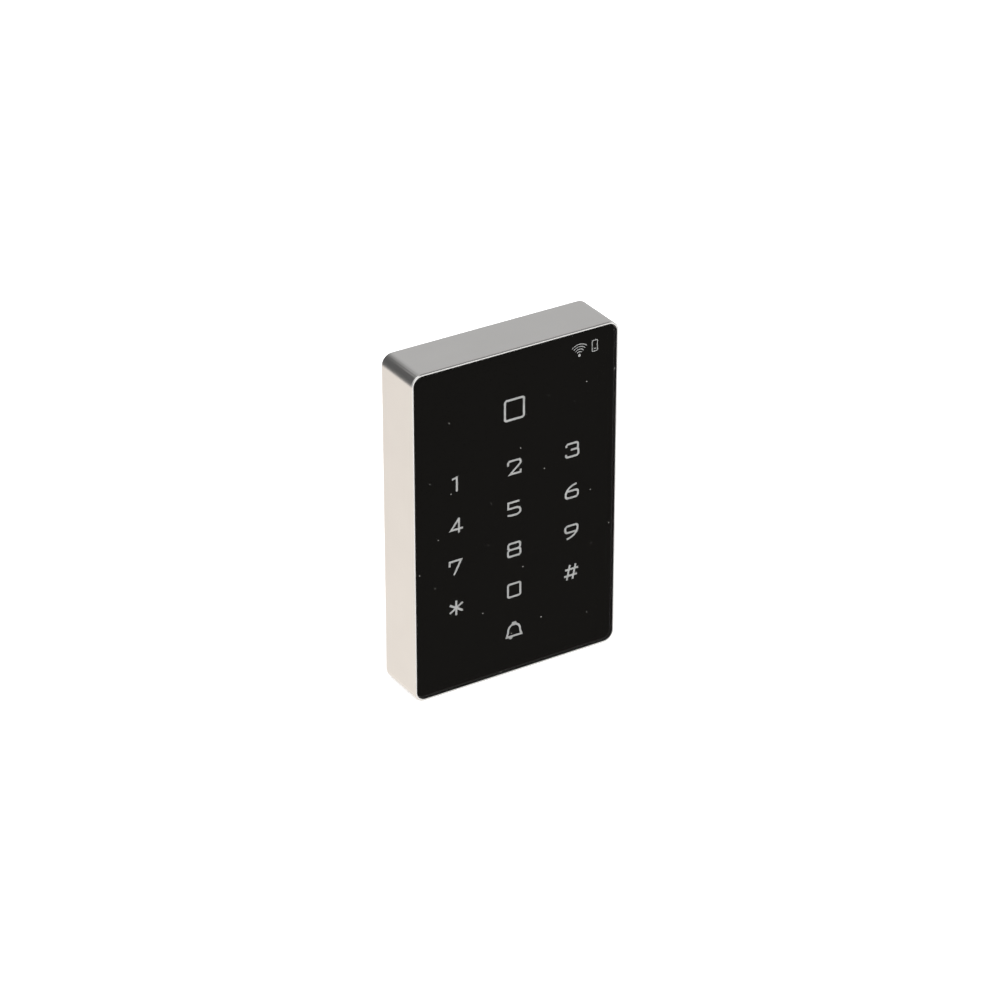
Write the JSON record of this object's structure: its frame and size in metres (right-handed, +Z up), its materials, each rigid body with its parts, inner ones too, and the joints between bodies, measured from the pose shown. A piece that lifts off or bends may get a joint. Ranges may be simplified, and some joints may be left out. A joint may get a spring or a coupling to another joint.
{
  "type": "keypad access reader",
  "caption": "Slim wall-mounted keypad access reader: a black glass touch keypad with printed legends in a metal frame, hung on a steel bracket and locked from below.",
  "frame": {"origin": "centre of the bracket's four wall screws, on the wall plane", "axes": "+X to the viewer's right, +Y into the wall, +Z up; the glass front faces -Y"},
  "size_m": [0.078, 0.0195, 0.12],
  "materials": {
    "anodised_metal": "bead-blasted and clear anodised, satin",
    "black_glass": "clear toughened glass over a black print",
    "black_print": "black screen print",
    "diffuser": "translucent white film",
    "bonding_tape": "black foam tape",
    "clear_guide": "polished clear acrylic",
    "board_green": "green solder mask over laminate",
    "copper": "bare and enamelled copper",
    "led_body": "white moulding with a yellow phosphor window",
    "screw_steel": "stainless",
    "chip_black": "black moulding compound with tinned legs",
    "module_blue": "dark blue solder mask",
    "tin_plate": "tin-plated sheet",
    "relay_blue": "blue moulded case",
    "black_plastic": "fine-textured moulding",
    "can_metal": "bare drawn can",
    "header_green": "green moulding",
    "contact_tin": "tinned contact screws",
    "small_part_mix": "ceramic with tinned ends",
    "ferrite_grey": "flexible ferrite sheet",
    "button_white": "natural moulding",
    "cover_black": "fine-textured moulding",
    "rubber_black": "moulded rubber",
    "plunger_white": "low-friction moulding",
    "spring_steel": "drawn wire",
    "zinc_steel": "zinc-plated sheet"
  },
  "bodies": {
    "bracket": {"wall_bracket": "zinc_steel"},
    "reader": {"housing_frame": "anodised_metal", "cover_glass": "black_glass", "legend_mask": "black_print", "diffuser_film": "diffuser", "glass_adhesive": "bonding_tape", "light_guide": "clear_guide", "main_board": "board_green", "touch_pads": "copper", "backlight_leds": "led_body", "board_screws": "screw_steel", "processor_chip": "chip_black", "touch_chip": "chip_black", "wireless_module": "module_blue", "module_shield": "tin_plate", "relay": "relay_blue", "buzzer": "black_plastic", "capacitors": "can_metal", "inductor": "ferrite_grey", "wire_header": "header_green", "header_pins": "contact_tin", "small_parts": "small_part_mix", "crystal": "tin_plate", "antenna_coil": "copper", "ferrite_sheet": "ferrite_grey", "tamper_switch": "black_plastic", "switch_button": "button_white", "rear_cover": "cover_black", "rear_gasket": "rubber_black", "cover_screws": "screw_steel", "cable_grommet": "rubber_black", "tamper_spring": "spring_steel"},
    "plunger": {"tamper_plunger": "plunger_white"},
    "ring": {"lock_ring": "rubber_black"},
    "screw": {"lock_screw": "screw_steel"}
  },
  "joints": [
    {"name": "reader_swing", "type": "hinge", "parent": "bracket", "child": "reader", "pos_m": [0, -0.0003, 0.06], "axis": [-1, 0, 0], "range_deg": [0, 28]},
    {"name": "plunger_travel", "type": "slide", "parent": "reader", "child": "plunger", "axis": [0, 1, 0], "range_m": [0, 0.0019], "stiffness_N_per_m": 120, "springref_m": 0.003, "deforming": ["tamper_spring"]},
    {"name": "ring_travel", "type": "slide", "parent": "reader", "child": "ring", "axis": [0, 0, 1], "range_m": [0, 0.0015]},
    {"name": "screw_turn", "type": "hinge", "parent": "ring", "child": "screw", "pos_m": [0, -0.005, -0.06], "axis": [0, 0, 1], "range_deg": [0, 1080]}
  ],
  "couplings": [
    {"joint": "screw_turn", "follows": "ring_travel", "rad_per_m": 12566}
  ]
}
